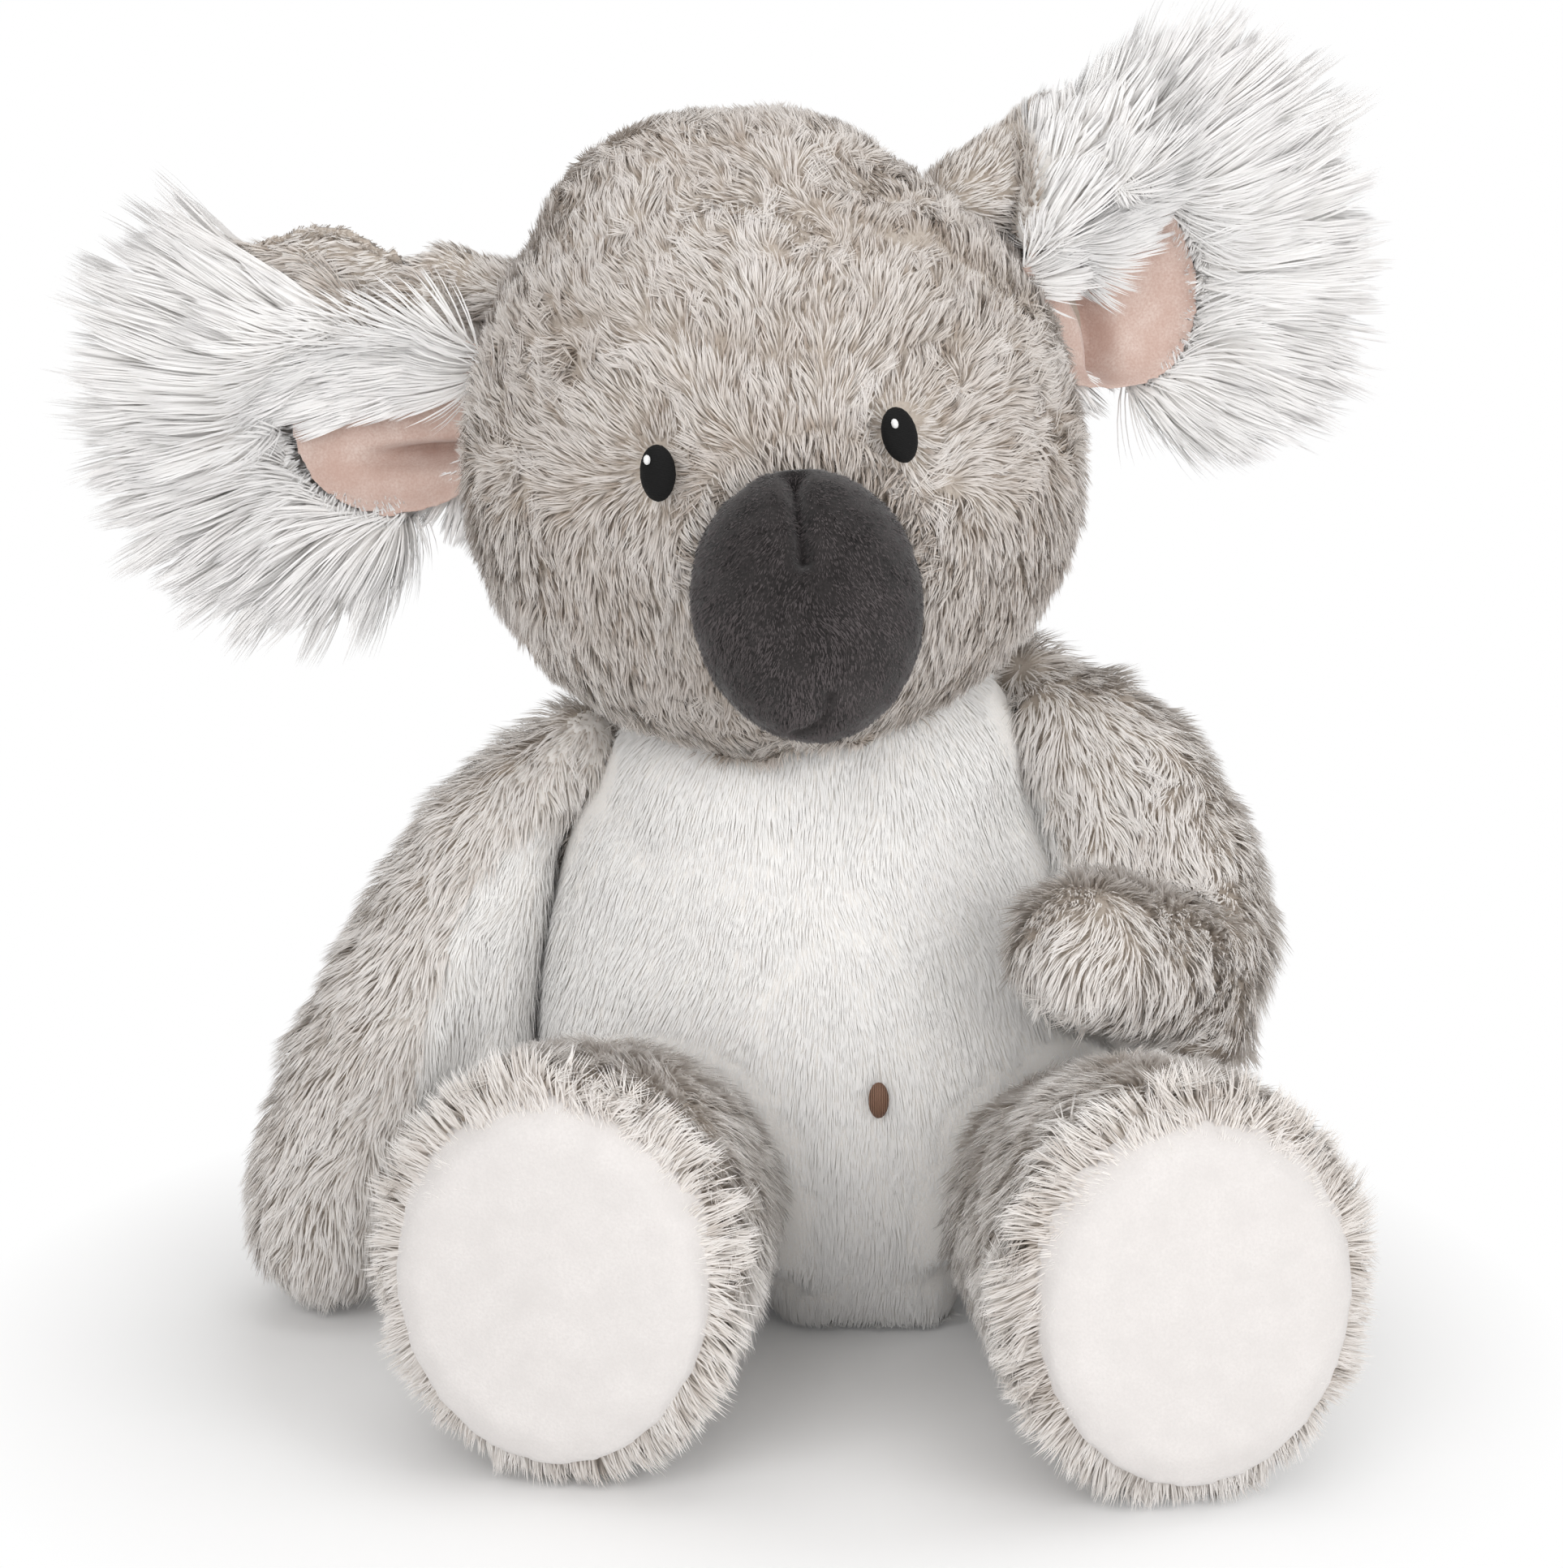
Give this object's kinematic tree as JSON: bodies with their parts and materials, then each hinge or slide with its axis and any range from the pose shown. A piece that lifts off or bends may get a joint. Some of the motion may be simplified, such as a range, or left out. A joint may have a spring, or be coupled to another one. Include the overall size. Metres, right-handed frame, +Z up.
{
  "type": "plush koala",
  "caption": "Seated stuffed koala of grey and white plush with fluffy round ears, a dark stuffed nose, stitched eyes and pale foot soles.",
  "frame": {"origin": "middle of the seat on the ground, under the torso", "axes": "+Z up, -Y the way the face looks, +X towards the viewer's right when the viewer faces the toy"},
  "size_m": [0.3404, 0.2445, 0.3401],
  "materials": {
    "grey_plush": "mottled grey-brown cut pile plush, about 10 mm",
    "white_plush": "off-white cut pile plush",
    "long_fur": "white long pile fur with greyish tips, about 35 mm",
    "sole_velour": "off-white short pile velour",
    "nose_velour": "charcoal short pile velour",
    "ear_velour": "pale pink velour",
    "eye_thread": "black satin stitch",
    "glint_thread": "white satin stitch",
    "button_thread": "brown satin stitch",
    "fibre_filling": "loose polyester fibre"
  },
  "bodies": {
    "torso": {"torso": "grey_plush", "belly_panel": "white_plush", "torso_filling": "fibre_filling", "belly_button": "button_thread"},
    "neck": {"neck": "fibre_filling"},
    "head": {"head": "grey_plush", "head_filling": "fibre_filling", "nose": "nose_velour", "eye_left": "eye_thread", "eye_right": "eye_thread", "eye_glint_left": "glint_thread", "eye_glint_right": "glint_thread"},
    "ear_left": {"ear_back_left": "grey_plush", "ear_fur_left": "long_fur", "ear_lining_left": "ear_velour"},
    "ear_right": {"ear_back_right": "grey_plush", "ear_fur_right": "long_fur", "ear_lining_right": "ear_velour"},
    "arm_left": {"arm_left": "grey_plush", "arm_inner_panel_left": "white_plush", "arm_filling_left": "fibre_filling"},
    "arm_right": {"arm_right": "grey_plush", "arm_inner_panel_right": "white_plush", "arm_filling_right": "fibre_filling"},
    "leg_left": {"leg_left": "grey_plush", "sole_left": "sole_velour", "leg_filling_left": "fibre_filling"},
    "leg_right": {"leg_right": "grey_plush", "sole_right": "sole_velour", "leg_filling_right": "fibre_filling"}
  },
  "joints": [
    {"name": "head_turn", "type": "hinge", "parent": "torso", "child": "neck", "pos_m": [-0.01524, -0.008, 0.164], "axis": [-0.1461, 0, 0.9893], "range_deg": [-30, 30], "stiffness_Nm_per_rad": 2},
    {"name": "head_nod", "type": "hinge", "parent": "neck", "child": "head", "pos_m": [-0.01524, -0.008, 0.164], "axis": [0.9866, 0.0732, 0.1457], "range_deg": [-6, 6], "stiffness_Nm_per_rad": 3},
    {"name": "ear_left_flap", "type": "hinge", "parent": "head", "child": "ear_left", "pos_m": [-0.10861, -0.01582, 0.25433], "axis": [-0.2484, -0.0077, 0.9686], "range_deg": [-15, 15], "stiffness_Nm_per_rad": 0.3},
    {"name": "ear_right_flap", "type": "hinge", "parent": "head", "child": "ear_right", "pos_m": [0.04833, -0.00417, 0.2775], "axis": [-0.1633, -0.0013, 0.9866], "range_deg": [-15, 15], "stiffness_Nm_per_rad": 0.3},
    {"name": "arm_left_raise", "type": "hinge", "parent": "torso", "child": "arm_left", "pos_m": [-0.07666, 0, 0.15107], "axis": [0, 1, 0], "range_deg": [0, 45], "stiffness_Nm_per_rad": 0.5},
    {"name": "arm_right_raise", "type": "hinge", "parent": "torso", "child": "arm_right", "pos_m": [0.04269, 0, 0.16493], "axis": [0, -1, 0], "range_deg": [0, 45], "stiffness_Nm_per_rad": 0.5},
    {"name": "leg_left_splay", "type": "hinge", "parent": "torso", "child": "leg_left", "pos_m": [-0.047, -0.017, 0], "axis": [0, 0, -1], "range_deg": [-4, 15], "stiffness_Nm_per_rad": 1},
    {"name": "leg_right_splay", "type": "hinge", "parent": "torso", "child": "leg_right", "pos_m": [0.047, -0.031, 0], "axis": [0, 0, 1], "range_deg": [-4, 15], "stiffness_Nm_per_rad": 1}
  ]
}
